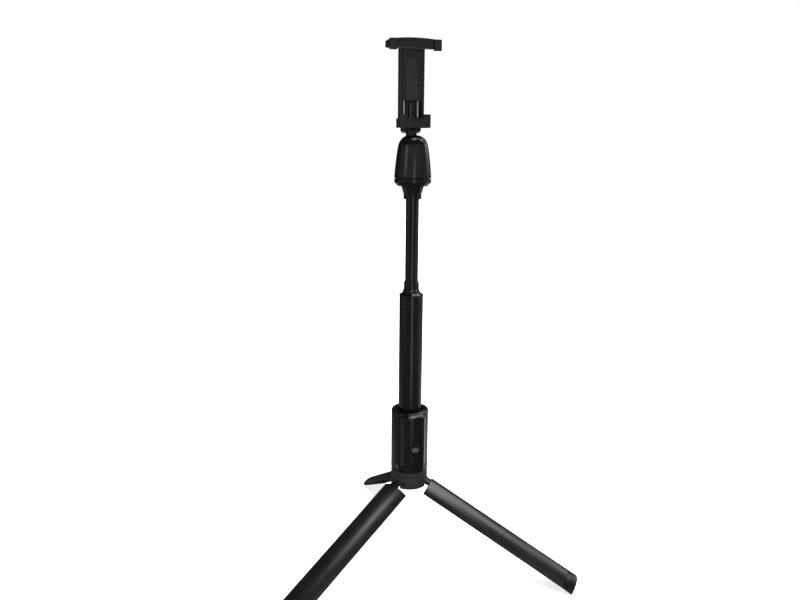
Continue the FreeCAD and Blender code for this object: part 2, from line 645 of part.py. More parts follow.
def is_back_edge(edge):
    """The channel's two long outer edges at its back."""
    bounds = edge.BoundBox
    return bounds.ZMax - bounds.ZMin > 30 and bounds.YMin > size("clamp_back") - 0.1


def is_lower_jaw_corner(edge):
    """The upright corners at the front of the lower jaw."""
    bounds = edge.BoundBox
    upright = bounds.ZMax - bounds.ZMin > 5 and bounds.XMax - bounds.XMin < 0.01
    return upright and bounds.YMax < size("hook_front") + 0.1 and abs(bounds.XMax) > size("lower_half") - 0.1


def guide_rails():
    """Two chromed rails that the upper jaw slides on."""
    rails = [rod("rail_" + name, "rail_r", "z", "rail_foot", "clamp_top", ("%d * rail_x" % side, "rail_y"))
             for name, side in SIDES]
    return group("guide_rails", rails)


def clamp_spring():
    """Close-wound extension spring between the block and the carriage."""
    low, high = size("spring_foot + spring_wire"), size("spring_top - spring_wire")
    radius = size("spring_r - spring_wire")
    helix = Part.makeHelix(size("spring_pitch"), high - low, radius)
    ring = Part.Circle(Vector(radius, 0, 0), Vector(0, 1, 0), size("spring_wire"))
    coil = Part.Wire(helix).makePipeShell([Part.Wire(ring.toShape())], True, True)
    coil.translate(Vector(0, size("rail_y"), low))
    spring = doc.addObject("Part::Feature", "clamp_spring")
    spring.Shape = Part.Compound([coil])
    return spring


def clamp_screws():
    """Two screws from the arm's flange into the housing's block."""
    screws = []
    seat = "arm_top - arm_flange"
    shanks = screw_holes("clamp_shank", seat, "screw_end")
    for shank, (name, side) in zip(shanks, SIDES):
        head = rod("clamp_head_" + name, "screw_head_r", "z", seat + " - screw_head", seat,
                   ("%d * screw_x" % side, "screw_y"))
        screws.append(fuse("clamp_screw_" + name, shank, head))
    return group("clamp_screws", screws)


def lower_jaw_pad():
    """Rubber seat on the lower jaw."""
    body = new_body("lower_jaw_pad")
    pad(body, "lower_seat", "XY_Plane",
        rectangle("-lower_half + 1", "lower_half - 1", "hook_back + seat_margin",
                  "clamp_front - seat_margin"), "lower_top", "seat_pad")
    return body


def upper_jaw():
    """T-shaped upper jaw with its front plate and the carriage that runs on the rails."""
    body = new_body("upper_jaw_solid")
    pad(body, "jaw_bar", "XZ_Plane", [
        ("-jaw_half", "jaw_under"), ("jaw_half", "jaw_under"), ("jaw_half", "jaw_end_top"),
        ("-jaw_half", "jaw_end_top")], "-clamp_back", "clamp_back - hook_back + bar_step",
        {2: "jaw_arch_r"})
    for name, side in SIDES:
        pad(body, "jaw_hook_" + name, "XZ_Plane",
            rectangle(*span(side, "jaw_half", "hook_width"), "upper_hook_foot", "jaw_end_top"),
            "-hook_back", "hook_back - hook_front")
    pad(body, "jaw_plate", "XY_Plane", rectangle("-plate_half", "plate_half", "plate_front", "plate_back"),
        "plate_foot", "jaw_under + 1 - plate_foot")
    pad(body, "jaw_carriage", "XY_Plane",
        rectangle("-plate_half", "plate_half", "plate_back - 1", "carriage_back"), "plate_foot", "carriage")
    round_edges(body, "jaw_corner_round", "jaw_round", is_jaw_corner)
    bores = [rod("carriage_bore_" + name, "rail_r + run", "z", "plate_foot - 1", "plate_foot + carriage + 1",
                 ("%d * rail_x" % side, "rail_y")) for name, side in SIDES]
    return cut("upper_jaw", body, *bores)


def is_jaw_corner(edge):
    """The upright outer corners at the two ends of the T."""
    bounds = edge.BoundBox
    upright = bounds.ZMax - bounds.ZMin > 4 and bounds.XMax - bounds.XMin < 0.01
    return upright and abs(bounds.XMax) > size("jaw_half") - 0.1 and (
        bounds.YMax < size("hook_front") + 0.1 or bounds.YMin > size("clamp_back") - 0.1)


def jaw_face_pad():
    """Long soft strip let into the front plate."""
    body = new_body("jaw_face_pad")
    pad(body, "face_pad", "XZ_Plane", rectangle("-pad_half", "pad_half", "pad_foot", "pad_top"),
        "-plate_front", "pad_proud")
    round_edges(body, "face_pad_corners", "pad_round", is_plate_corner)
    return body


def upper_jaw_pad():
    """Rubber seat under the T."""
    body = new_body("upper_jaw_pad")
    across = "jaw_half - hook_width - 1"
    pad(body, "upper_seat", "XY_Plane",
        rectangle("-(%s)" % across, across, "hook_back + seat_margin", "plate_front - seat_margin"),
        "jaw_under - seat_pad", "seat_pad")
    return body


# ---------------------------------------------------------------- assembly
STILL = Placement()


def leg_turn(azimuth, splay):
    """From the folded leg at the front to a spread leg at its azimuth."""
    pivot = Vector(0, -size("pivot_r"), -size("pivot_drop"))
    swing = Placement(Vector(), Rotation(Vector(1, 0, 0), -splay), pivot)
    return Placement(Vector(), Rotation(Vector(0, 0, 1), azimuth)) * swing


parts = [(piece, STILL) for piece in (
    rim_ring(), handle_shell(), guide_sleeve(), leg_hub(), hub_screws(),
    remote_front(), remote_back(), remote_board(), shutter_button(),
    remote_disc("coin_cell", "cell_r", "cell_depth", "cell_lift", "cell_thick"),
    remote_disc("dome_switch", "switch_r", "button_depth", "board_lift + board", "switch_thick"))]
for side, azimuth in LEGS.items():
    spread = leg_turn(azimuth, size("leg_splay"))
    parts += [(leg_pin("leg_pin_" + side), leg_turn(azimuth, 0)), (leg_shell("leg_shell_" + side), spread),
              (foot_cap("foot_cap_" + side), spread), (foot_pad("foot_pad_" + side), spread)]
parts += [(piece, STILL) for piece in (
    main_tube(), main_tube_stop(), main_tube_cap(),
    stage_tube("two", "three_r + run"),
    bush("stage_two_bush", "two_r", "tube_bore_r - run", "-two_end", "two_bush"),
    stage_tube("three", "rod_r + run"),
    bush("stage_three_bush", "three_r", "two_bore_r - bush_run", "-three_end", "bush_length"),
    rod_tube(),
    bush("rod_bush", "rod_r", "three_bore_r - bush_run", "rod_foot", "bush_length"),
    neck_collar(), swivel_base(), swivel_washer(), swivel_screw(),
    head_dome(), tilt_pin(), tilt_washers(), tilt_arm(),
    clamp_housing(), guide_rails(), clamp_spring(), clamp_screws(), lower_jaw_pad(),
    upper_jaw(), jaw_face_pad(), upper_jaw_pad())]
doc.recompute()


def place_all(stand):
    for piece, pose in parts:
        piece.Placement = stand * pose
    doc.recompute()


place_all(STILL)
whole = FreeCAD.BoundBox()
for piece, _ in parts:
    whole.add(piece.Shape.BoundBox)
footprint = whole.Center
place_all(Placement(Vector(-footprint.x, -footprint.y, -whole.ZMin), Rotation()))
print("stick axis y %.3f, rim height %.3f" % (-footprint.y, -whole.ZMin))

failed = [item.Name for item in doc.Objects if {"Invalid", "Error"} & set(item.State)]
assert not failed, "failed features: %s" % failed
for piece, _ in parts:
    assert not piece.Shape.isNull() and piece.Shape.isValid(), piece.Name

os.makedirs("parts", exist_ok=True)
for piece, _ in parts:
    piece.Shape.exportStep("parts/%s.step" % piece.Label)
print(len(parts), "sub-parts")
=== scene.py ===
"""Looks of the telescopic selfie stick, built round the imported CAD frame.

Shapes are worked out in millimetres in the stick's own frame: the telescope is the Z axis, the
rim of the handle is at z = 0, and the front (remote, open face of the clamp) faces -Y.
"""

import json
import math

import bmesh
import bpy
from mathutils import Matrix, Vector


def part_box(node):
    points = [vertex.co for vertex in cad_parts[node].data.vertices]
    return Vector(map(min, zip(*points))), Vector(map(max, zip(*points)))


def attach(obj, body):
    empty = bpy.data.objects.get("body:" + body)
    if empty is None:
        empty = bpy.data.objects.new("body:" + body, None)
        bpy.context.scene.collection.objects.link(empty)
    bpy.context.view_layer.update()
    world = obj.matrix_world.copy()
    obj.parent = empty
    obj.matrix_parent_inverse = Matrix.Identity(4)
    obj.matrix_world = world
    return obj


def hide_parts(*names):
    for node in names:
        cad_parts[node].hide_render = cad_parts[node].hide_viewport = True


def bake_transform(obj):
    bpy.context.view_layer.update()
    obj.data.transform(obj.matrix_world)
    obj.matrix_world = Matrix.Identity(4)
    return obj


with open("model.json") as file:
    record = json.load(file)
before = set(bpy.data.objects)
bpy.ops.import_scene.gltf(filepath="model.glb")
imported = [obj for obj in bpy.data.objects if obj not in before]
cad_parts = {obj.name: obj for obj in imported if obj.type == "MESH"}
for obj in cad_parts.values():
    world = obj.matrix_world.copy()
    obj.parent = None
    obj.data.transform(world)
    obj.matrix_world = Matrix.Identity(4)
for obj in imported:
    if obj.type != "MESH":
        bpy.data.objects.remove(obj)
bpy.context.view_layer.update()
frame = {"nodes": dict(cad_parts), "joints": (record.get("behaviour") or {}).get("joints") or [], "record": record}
scene = bpy.context.scene

MM = 0.001
rim_low, rim_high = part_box("rim_ring")
RIM = Vector(((rim_low.x + rim_high.x) / 2, (rim_low.y + rim_high.y) / 2, rim_high.z))
TO_ROW = Matrix.Translation(RIM) @ Matrix.Scale(MM, 4)


def node_box(node):
    """A CAD node's corners in the stick's own frame, in millimetres."""
    low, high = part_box(node)
    return (low - RIM) / MM, (high - RIM) / MM


# ---------------------------------------------------------------- outlines
def rounded(points, steps=6, closed=True):
    """A polyline from (a, b) points, where a third value is the radius of that corner."""
    corners = [Vector(point[:2]) for point in points]
    result = []
    for index, point in enumerate(points):
        corner = corners[index]
        inside = closed or 0 < index < len(points) - 1
        if len(point) < 3 or not inside:
            result.append(corner)
            continue
        before = corners[index - 1] - corner
        after = corners[(index + 1) % len(points)] - corner
        half = before.angle(after) / 2
        reach = min(point[2] / math.tan(half), 0.48 * before.length, 0.48 * after.length)
        radius = reach * math.tan(half)
        halfway = (before.normalized() + after.normalized()).normalized()
        middle = corner + halfway * radius / math.sin(half)
        start = corner + before.normalized() * reach - middle
        finish = corner + after.normalized() * reach - middle
        first = math.atan2(start.y, start.x)
        turn = math.atan2(finish.y, finish.x) - first
        turn = (turn + math.pi) % (2 * math.pi) - math.pi
        for step in range(steps + 1):
            angle = first + turn * step / steps
            result.append(middle + Vector((math.cos(angle), math.sin(angle))) * radius)
    return result


def ring_outline(radius, sides=48, centre=(0, 0)):
    return [(centre[0] + radius * math.cos(2 * math.pi * k / sides),
             centre[1] + radius * math.sin(2 * math.pi * k / sides)) for k in range(sides)]


def block_outline(left, right, low, high, corner=0.0):
    points = [(left, low), (right, low), (right, high), (left, high)]
    return rounded([(*point, corner) for point in points]) if corner else points


def arc_points(radius, first, last, steps, centre=(0, 0)):
    """Points on an arc between two angles in degrees."""
    angles = [math.radians(first + (last - first) * step / steps) for step in range(steps + 1)]
    return [(centre[0] + radius * math.cos(a), centre[1] + radius * math.sin(a)) for a in angles]


# ---------------------------------------------------------------- solids, as bmesh in millimetres
def closed_up(bm):
    bmesh.ops.remove_doubles(bm, verts=bm.verts, dist=1e-4)
    bmesh.ops.recalc_face_normals(bm, faces=bm.faces)
    return bm


def lathe(points, turns=96, steps=6, dents=None):
    """A solid turned about the stick's axis from (radius, height[, corner radius]) points.

    dents is (low, high, count, depth): between those heights the outside is cut by that many flutes.
    """
    section = rounded(points, steps)
    if dents:
        turns = dents[2] * 4
    bm = bmesh.new()
    rings = []
    for index in range(turns):
        angle = 2 * math.pi * index / turns
        ring = []
        for radius, height in section:
            if dents and dents[0] < height < dents[1] and radius > 0.9 * max(p[0] for p in section):
                radius -= dents[3] * (index % 4 == 0)
            ring.append(bm.verts.new((radius * math.sin(angle), -radius * math.cos(angle), height)))
        rings.append(ring)
    for index, ring in enumerate(rings):
        following = rings[(index + 1) % turns]
        for k in range(len(section)):
            n = (k + 1) % len(section)
            bm.faces.new((ring[k], following[k], following[n], ring[n]))
    return closed_up(bm)


def loft(rings):
    """A closed solid through rings of equally many points, capped at both ends."""
    bm = bmesh.new()
    rows = [[bm.verts.new(point) for point in ring] for ring in rings]
    for row, following in zip(rows, rows[1:]):
        for k in range(len(row)):
            n = (k + 1) % len(row)
            bm.faces.new((row[k], row[n], following[n], following[k]))
    bm.faces.new(rows[0])
    bm.faces.new(rows[-1])
    return closed_up(bm)


PLANES = {"xy": lambda a, b, h: (a, b, h),
          "xz": lambda a, b, h: (a, h, b),
          "yz": lambda a, b, h: (h, a, b)}


def prism(outline, low, high, plane="xy"):
    """An outline in a plane, pushed from low to high along the third axis."""
    place = PLANES[plane]
    return loft([[place(point[0], point[1], height) for point in outline] for height in (low, high)])


def disc(radius, plane, low, high, centre=(0, 0), edge=0.15, sides=48):
    """A round bar or button with bevelled ends."""
    place = PLANES[plane]
    levels = [(low, radius - edge), (low + edge, radius),
              (high - edge, radius), (high, radius - edge)]
    return loft([[place(a, b, height) for a, b in ring_outline(r, sides, centre)] for height, r in levels])


def joined(*solids):
    """Several solids in one mesh, left as separate shells."""
    result = bmesh.new()
    for solid in solids:
        mesh = bpy.data.meshes.new("shell")
        solid.to_mesh(mesh)
        solid.free()
        result.from_mesh(mesh)
        bpy.data.meshes.remove(mesh)
    return result


def boolean(base, *tools, operation="DIFFERENCE"):
    """The base with the tools cut away or added."""
    helpers = []
    for solid in (base, *tools):
        mesh = bpy.data.meshes.new("helper")
        solid.to_mesh(mesh)
        solid.free()
        helper = bpy.data.objects.new("helper", mesh)
        scene.collection.objects.link(helper)
        helpers.append(helper)
    for tool in helpers[1:]:
        step = helpers[0].modifiers.new("step", "BOOLEAN")
        step.operation, step.object, step.solver = operation, tool, "EXACT"
    result = bmesh.new()
    result.from_object(helpers[0], bpy.context.evaluated_depsgraph_get())
    for helper in helpers:
        mesh = helper.data
        bpy.data.objects.remove(helper)
        bpy.data.meshes.remove(mesh)
    return closed_up(result)


def turned(solid, angle, axis="Z", centre=(0, 0, 0)):
    """The solid turned by degrees about an axis through a point."""
    move = Matrix.Translation(Vector(centre)) @ Matrix.Rotation(math.radians(angle), 4, axis) @ \
        Matrix.Translation(-Vector(centre))
    solid.transform(move)
    return solid


# ---------------------------------------------------------------- materials
class Nodes:
    """A small helper that adds linked nodes to one node tree."""

    def __init__(self, tree):
        self.tree = tree
        tree.nodes.clear()

    def add(self, kind, values=None, **settings):
        node = self.tree.nodes.new(kind)
        for name, value in settings.items():
            setattr(node, name, value)
        for socket, value in (values or {}).items():
            if isinstance(value, bpy.types.NodeSocket):
                self.tree.links.new(value, node.inputs[socket])
            else:
                node.inputs[socket].default_value = value
        return node

    def noise(self, where, scale, detail=4.0, roughness=0.55):
        node = self.add("ShaderNodeTexNoise", {"Vector": where, "Scale": scale, "Detail": detail,
                                               "Roughness": roughness})
        return node.outputs["Fac"]

    def spread(self, value, low, high, to_low, to_high):
        """A value remapped from one range to another, held at its ends."""
        node = self.add("ShaderNodeMapRange", {"Value": value, "From Min": low, "From Max": high,
                                               "To Min": to_low, "To Max": to_high})
        return node.outputs["Result"]

    def blend(self, share, first, second):
        node = self.add("ShaderNodeMix", data_type="RGBA")
        self.tree.links.new(share, node.inputs["Factor"])
        for socket, value in (("A", first), ("B", second)):
            target = next(s for s in node.inputs if s.name == socket and s.type == "RGBA")
            if isinstance(value, bpy.types.NodeSocket):
                self.tree.links.new(value, target)
            else:
                target.default_value = (*value, 1)
        return next(s for s in node.outputs if s.type == "RGBA")


def finish(name, colour, roughness, metallic=0.0, specular=0.5, coat=0.0, coat_roughness=0.1,
           grain=(2500.0, 0.00002), brushed=None, variation=0.25, wear=(0.09, 0.5), sheen=0.0):
    """A moulded, coated or brushed finish with grain, uneven gloss, faint scuffs and handling marks.

    grain is (scale, depth in metres) of the fine bump; brushed is the axis along which the grain is
    drawn out; wear is (lighter value, how much of the surface the scuffs touch).
    """
    material = bpy.data.materials.new(name)
    material.use_nodes = True
    nodes = Nodes(material.node_tree)
    where = nodes.add("ShaderNodeTexCoord").outputs["Object"]
    drawn = {"x": (0.04, 1, 1), "y": (1, 0.04, 1), "z": (1, 1, 0.04)}.get(brushed, (1, 1, 1))
    along = nodes.add("ShaderNodeMapping", {"Vector": where, "Scale": drawn}).outputs["Vector"]
    cloud = nodes.noise(where, 45.0)
    fine = nodes.noise(along, grain[0], 3.0)
    scuff_way = nodes.add("ShaderNodeMapping", {"Vector": where, "Rotation": (0.5, 0.3, 0.9),
                                                "Scale": (1, 1, 0.06)}).outputs["Vector"]
    scuffs = nodes.spread(nodes.noise(scuff_way, 900.0, 2.0), 0.70, 0.78, 0.0, wear[1])
    dark = tuple(channel * (1 - variation) for channel in colour)
    light = tuple(min(1.0, channel * (1 + variation)) for channel in colour)
    mottled = nodes.blend(nodes.spread(cloud, 0.35, 0.65, 0.0, 1.0), dark, light)
    worn = nodes.blend(scuffs, mottled, tuple(max(wear[0], channel) for channel in colour))
    gloss = nodes.spread(cloud, 0.3, 0.7, roughness * 0.88, min(1.0, roughness * 1.14))
    gloss = nodes.add("ShaderNodeMath", {0: gloss, 1: nodes.spread(fine, 0.3, 0.7, -0.02, 0.03)},
                      operation="ADD").outputs["Value"]
    bump = nodes.add("ShaderNodeBump", {"Height": fine, "Strength": 1.0, "Distance": grain[1]})
    shader = nodes.add("ShaderNodeBsdfPrincipled", {
        "Base Color": worn, "Roughness": gloss, "Normal": bump.outputs["Normal"], "Metallic": metallic,
        "Specular IOR Level": specular, "Coat Weight": coat, "Coat Roughness": coat_roughness,
        "Sheen Weight": sheen})
    nodes.add("ShaderNodeOutputMaterial", {"Surface": shader.outputs["BSDF"]})
    material.diffuse_color = (*colour, 1)
    return material


def board_finish():
    """Green solder mask with faint tracks and small gold pads."""
    material = bpy.data.materials.new("board")
    material.use_nodes = True
    nodes = Nodes(material.node_tree)
    where = nodes.add("ShaderNodeTexCoord").outputs["Object"]
    cells = nodes.add("ShaderNodeTexVoronoi", {"Vector": where, "Scale": 500.0}, distance="CHEBYCHEV")
    tracks = nodes.spread(cells.outputs["Distance"], 0.42, 0.46, 0.0, 1.0)
    pads = nodes.spread(cells.outputs["Distance"], 0.10, 0.13, 1.0, 0.0)
    mask = nodes.blend(tracks, (0.01, 0.09, 0.035), (0.015, 0.15, 0.05))
    colour = nodes.blend(pads, mask, (0.75, 0.52, 0.18))
    bump = nodes.add("ShaderNodeBump", {"Height": tracks, "Distance": 0.00003})
    shader = nodes.add("ShaderNodeBsdfPrincipled", {
        "Base Color": colour, "Metallic": pads, "Roughness": nodes.spread(pads, 0, 1, 0.45, 0.25),
        "Normal": bump.outputs["Normal"]})
    nodes.add("ShaderNodeOutputMaterial", {"Surface": shader.outputs["BSDF"]})
    return material


FINISHES = {
    "grip_gloss": finish("grip_gloss", (0.0025, 0.0025, 0.0027), 0.16, grain=(3000.0, 0.000003),
                         wear=(0.02, 0.4)),
    "tube_satin": finish("tube_satin", (0.0025, 0.0025, 0.0027), 0.18, specular=0.6, wear=(0.02, 0.4),
                         grain=(3500.0, 0.000005), brushed="z"),
    "stage_gloss": finish("stage_gloss", (0.0025, 0.0025, 0.0027), 0.11, specular=0.7, wear=(0.02, 0.4),
                          grain=(3500.0, 0.000003), brushed="z"),
    "leg_satin": finish("leg_satin", (0.0032, 0.0032, 0.0034), 0.34, specular=0.9, wear=(0.02, 0.5),
                        grain=(5200.0, 0.00002)),
    "cap_plastic": finish("cap_plastic", (0.0035, 0.0035, 0.0037), 0.32, wear=(0.02, 0.5),
                          grain=(4200.0, 0.00001)),
    "clamp_plastic": finish("clamp_plastic", (0.006, 0.006, 0.0063), 0.3, wear=(0.03, 0.5),
                            grain=(3600.0, 0.00001)),
    "inner_plastic": finish("inner_plastic", (0.014, 0.014, 0.015), 0.55, grain=(3000.0, 0.00002)),
    "rubber": finish("rubber", (0.014, 0.013, 0.015), 0.6, specular=0.35, grain=(2600.0, 0.00005),
                     sheen=0.05),
    "chrome": finish("chrome", (0.60, 0.60, 0.62), 0.12, metallic=1.0, grain=(4000.0, 0.000002),
                     brushed="z", variation=0.06, wear=(0.8, 0.1)),
    "steel": finish("steel", (0.42, 0.42, 0.43), 0.32, metallic=1.0, grain=(4000.0, 0.000006),
                    variation=0.12, wear=(0.6, 0.2)),
    "board": board_finish(),
}
printed_grey = finish("printed_grey", (0.075, 0.075, 0.078), 0.5, grain=(5000.0, 0.000003),
                      variation=0.08, wear=(0.12, 0.2))
lens_grey = finish("lens_grey", (0.05, 0.052, 0.055), 0.3, grain=(3000.0, 0.000002), variation=0.1,
                   wear=(0.12, 0.1))


# ---------------------------------------------------------------- pieces
def piece(name, solid, body, slot, stands_for=(), bevel=0.0, smooth=32, pose=None, material=None):
    """Puts a solid in the row frame as a named piece that rides on a body."""
    if pose is not None:
        solid.transform(pose)
    solid.transform(TO_ROW)
    mesh = bpy.data.meshes.new(name)
    solid.to_mesh(mesh)
    solid.free()
    mesh.polygons.foreach_set("use_smooth", [True] * len(mesh.polygons))
    mesh.set_sharp_from_angle(angle=math.radians(smooth))
    obj = bpy.data.objects.new(name, mesh)
    scene.collection.objects.link(obj)
    mesh.materials.append(material or FINISHES[slot])
    if bevel:
        edge = obj.modifiers.new("edge", "BEVEL")
        edge.width, edge.segments, edge.limit_method = bevel * MM, 3, "ANGLE"
        edge.angle_limit = math.radians(40)
        edge.harden_normals = True
    if body:
        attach(obj, body)
    if stands_for:
        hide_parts(*stands_for)
    return obj


# ---------------------------------------------------------------- handle
HANDLE_R, RIM_HOLE_R, RIM_DEPTH, HANDLE_END = 16.5, 11.3, 4.2, 56.0
HANDLE_BORE_R = 12.6
LEG_AZIMUTHS = {"right": 60, "left": -60, "rear": 180}
SCREW_DROP = 52.0

piece("rim_collar", lathe([
    (RIM_HOLE_R, -RIM_DEPTH), (HANDLE_R, -RIM_DEPTH, 0.25), (HANDLE_R, 0, 3.0), (RIM_HOLE_R, 0, 0.55)],
    144, 12), "handle", "grip_gloss", ["rim_ring"])


def screw_cutters(radius, low, high):
    """Bars round the grip at the three screws."""
    return [turned(disc(radius, "xz", low, high, (0, -SCREW_DROP), 0.0), azimuth)
            for azimuth in LEG_AZIMUTHS.values()]


plug_low, plug_high = node_box("remote_back")
shell = lathe([(HANDLE_BORE_R, -HANDLE_END), (HANDLE_R, -HANDLE_END, 0.5),
               (HANDLE_R, -RIM_DEPTH - 0.04, 0.3), (HANDLE_BORE_R, -RIM_DEPTH - 0.04)], 144, 5)
window = prism(block_outline(plug_low.x - 0.2, plug_high.x + 0.2, plug_low.z - 0.2, plug_high.z + 0.2, 1.6),
               -20, -8, "xz")
grip = boolean(shell, window, *screw_cutters(1.1, -20, -8), *screw_cutters(2.2, -20, -14.6))
piece("grip_shell", grip, "handle", "grip_gloss", ["handle_shell"], 0.12, 30)


def recessed_head(radius, low, high, centre, plane="xz", recess=0.9, socket_r=0.95, inward=1):
    """A round screw head with a hexagonal socket in the face at low (inward 1) or high (-1)."""
    head = disc(radius, plane, low, high, centre, 0.25)
    face = low if inward > 0 else high
    ends = sorted((face - inward, face + inward * recess))
    return boolean(head, prism(ring_outline(socket_r, 6, centre), *ends, plane))


heads = [turned(recessed_head(2.05, -15.9, -14.6, (0, -SCREW_DROP)), azimuth)
         for azimuth in LEG_AZIMUTHS.values()]
shanks = [turned(disc(1.1, "xz", -14.7, -11.6, (0, -SCREW_DROP), 0.1, 24), azimuth)
          for azimuth in LEG_AZIMUTHS.values()]
piece("hub_screw_heads", joined(*heads, *shanks), "handle", "steel", ["hub_screws"])

HUB_R, HUB_TOP, HUB_END = 16.4, 56.3, 72.0
PIVOT_R, PIVOT_DROP = 14.05, 66.74
hub = lathe([(RIM_HOLE_R, -HUB_END, 0.3), (HUB_R, -HUB_END, 0.9), (HUB_R, -HUB_TOP, 0.4),
             (12.5, -HUB_TOP), (12.5, -48.0, 0.4), (RIM_HOLE_R, -48.0)], 144, 5)
slots = [turned(prism(block_outline(-4.3, 4.3, -20, -10), -HUB_END - 5, -PIVOT_DROP + 2.7), azimuth)
         for azimuth in LEG_AZIMUTHS.values()]
pin_holes = [turned(disc(1.1, "yz", -9, 9, (-PIVOT_R, -PIVOT_DROP), 0.0), azimuth)
             for azimuth in LEG_AZIMUTHS.values()]
groove = lathe([(HUB_R - 0.45, -60.6), (HUB_R + 1, -60.9), (HUB_R + 1, -59.5),
                (HUB_R - 0.45, -59.8)], 144)
piece("hub_body", boolean(hub, groove, *slots, *pin_holes), "handle", "inner_plastic", ["leg_hub"],
      0.2, 30)

# ---------------------------------------------------------------- remote control
FACE_R, FACE_HALF, FACE_TOP, FACE_END = 19.4, 8.7, 2.8, 49.2
BASE_R, BASE_HALF, BASE_TOP, BASE_END = 16.62, 11.4, 0.8, 51.2
BUTTON_DROP, BUTTON_R = 32.4, 4.35
FACE_SPLITS = 10


def remote_ring(inset, height):
    """A rounded rectangle on a cylinder, inset from the remote's foot by a distance."""
    slope = BASE_HALF - FACE_HALF
    share = min(inset, slope) / slope
    flat = max(inset - slope, 0.0)
    half = BASE_HALF - slope * share - flat
    top = -BASE_TOP - (FACE_TOP - BASE_TOP) * share - flat
    end = -BASE_END + (BASE_END - FACE_END) * share + flat
    corner = max(min(4.6 - 2.2 * share, half - 0.02), 0.02)
    points = []
    side, high, low = half - corner, top - corner, end + corner
    for centre_x, centre_z, last in ((side, high, 90), (-side, high, 180),
                                     (-side, low, 270), (side, low, 360)):
        points += arc_points(corner, last - 90, last, 8, (centre_x, centre_z))
    outline = []
    for index, (x, z) in enumerate(points):
        next_x, next_z = points[(index + 1) % len(points)]
        splits = FACE_SPLITS if index % 9 == 8 else 1
        for split in range(splits):
            outline.append((x + (next_x - x) * split / splits, z + (next_z - z) * split / splits))
    radius = BASE_R + height
    return [(x, -math.sqrt(radius ** 2 - x ** 2), z) for x, z in outline]


rise = FACE_R - BASE_R
section = rounded([(0.35, -0.02), (0.0, 0.0), (0.12, 0.35), (2.7, rise, 1.0), (5.0, rise)], 7, False)
underside = [(inset, -0.02) for inset in (11.0, 9.0, 6.5, 4.0, 1.5)]
face = [(inset, rise) for inset in (6.5, 8.0, 9.5, 10.6, 11.2)]
raised = loft([remote_ring(*spot) for spot in underside + [tuple(p) for p in section] + face])
plug = prism(block_outline(plug_low.x, plug_high.x, plug_low.z, plug_high.z, 2.2), -17.0, -13.42, "xz")
hole = disc(BUTTON_R + 0.22, "xz", -25, -17.2, (0, -BUTTON_DROP), 0.0, 64)
slit = prism(block_outline(0.5, 3.3, -28.25, -27.45, 0.35), -25, -18.6, "xz")
piece("remote_shell", joined(boolean(raised, hole, slit), plug), "remote", "grip_gloss", ["remote_front"],
      smooth=38)
piece("remote_light", prism(block_outline(0.55, 3.25, -28.2, -27.5, 0.3), -19.05, -18.4, "xz"), "remote",
      "cap_plastic", material=lens_grey)

cover = prism(block_outline(plug_low.x, plug_high.x, plug_low.z, plug_high.z, 2.2),
              plug_low.y, plug_high.y, "xz")
CELL_DROP = 14.5
door_groove = boolean(disc(7.2, "xz", plug_high.y - 0.2, 0, (0, -CELL_DROP), 0.0, 64),
                      disc(6.8, "xz", -14, 1, (0, -CELL_DROP), 0.0, 64))
door_slot = prism(block_outline(-4.2, 4.2, -CELL_DROP - 0.6, -CELL_DROP + 0.6, 0.5),
                  plug_high.y - 0.35, 0, "xz")
piece("remote_cover", boolean(cover, door_groove, door_slot), "remote", "cap_plastic", ["remote_back"], 0.08)

button_low, button_high = node_box("shutter_button")
dish = boolean(disc(BUTTON_R, "xz", button_low.y, button_high.y, (0, -BUTTON_DROP), 0.3, 64),
               lathe([(0, 0), (12, 0), (12, 24), (0, 24)], 8))
piece("shutter_cap", dish, "shutter", "cap_plastic", ["shutter_button"])
icon = boolean(prism(block_outline(-2.5, 2.5, -BUTTON_DROP - 1.7, -BUTTON_DROP + 1.5, 0.7),
                     button_low.y - 0.06, button_low.y + 0.1, "xz"),
               disc(1.15, "xz", -25, -10, (0, -BUTTON_DROP - 0.1), 0.0, 32))
bump_top = prism(block_outline(-0.9, 0.9, -BUTTON_DROP + 1.4, -BUTTON_DROP + 2.2, 0.25),
                 button_low.y - 0.06, button_low.y + 0.1, "xz")
lens_dot = disc(0.7, "xz", button_low.y - 0.06, button_low.y + 0.1, (0, -BUTTON_DROP - 0.1), 0.0, 24)
piece("shutter_icon", joined(icon, bump_top, lens_dot), "shutter", "cap_plastic", material=printed_grey)

# ---------------------------------------------------------------- legs
LEG_INNER_R, LEG_SECTOR, LEG_START, LEG_LENGTH, CAP_LENGTH = 13.8, 117.0, 6.2, 159.5, 10.0
FOOT_CHORD = 7.0
splay = next(j for j in frame["joints"] if j["name"] == "leg_right_fold")["range_deg"][1]


def leg_pose(azimuth, angle):
    """From the folded leg at the front to the spread leg at its azimuth."""
    pivot = Matrix.Translation((0, -PIVOT_R, -PIVOT_DROP))
    swing = pivot @ Matrix.Rotation(math.radians(-angle), 4, "X") @ pivot.inverted()
    return Matrix.Rotation(math.radians(azimuth), 4, "Z") @ swing


def wall_section(outer, inner, sector, inset=0.0, corner=0.7):
    """The cross-section of a curved wall at the front, shrunk all round by an inset."""
    outer, inner = outer - inset, inner + inset
    half = math.degrees(math.radians(sector / 2) - inset / outer)
    bend = max(corner - inset, 0.1)
    outer_reach, inner_reach = half - math.degrees(bend / outer), half - math.degrees(bend / inner)
    outside = arc_points(outer, -90 - outer_reach, -90 + outer_reach, 40)
    inside = arc_points(inner, -90 + inner_reach, -90 - inner_reach, 40)
    first, last = math.radians(-90 - half), math.radians(-90 + half)
    ends = []
    for angle in (last, first):
        way = Vector((math.cos(angle), math.sin(angle)))
        ends.append([way * (outer - bend * 0.3), way * (outer - bend), way * (inner + bend),
                     way * (inner + bend * 0.3)])
    return [Vector(p) for p in outside] + ends[0] + [Vector(p) for p in inside] + ends[1][::-1]


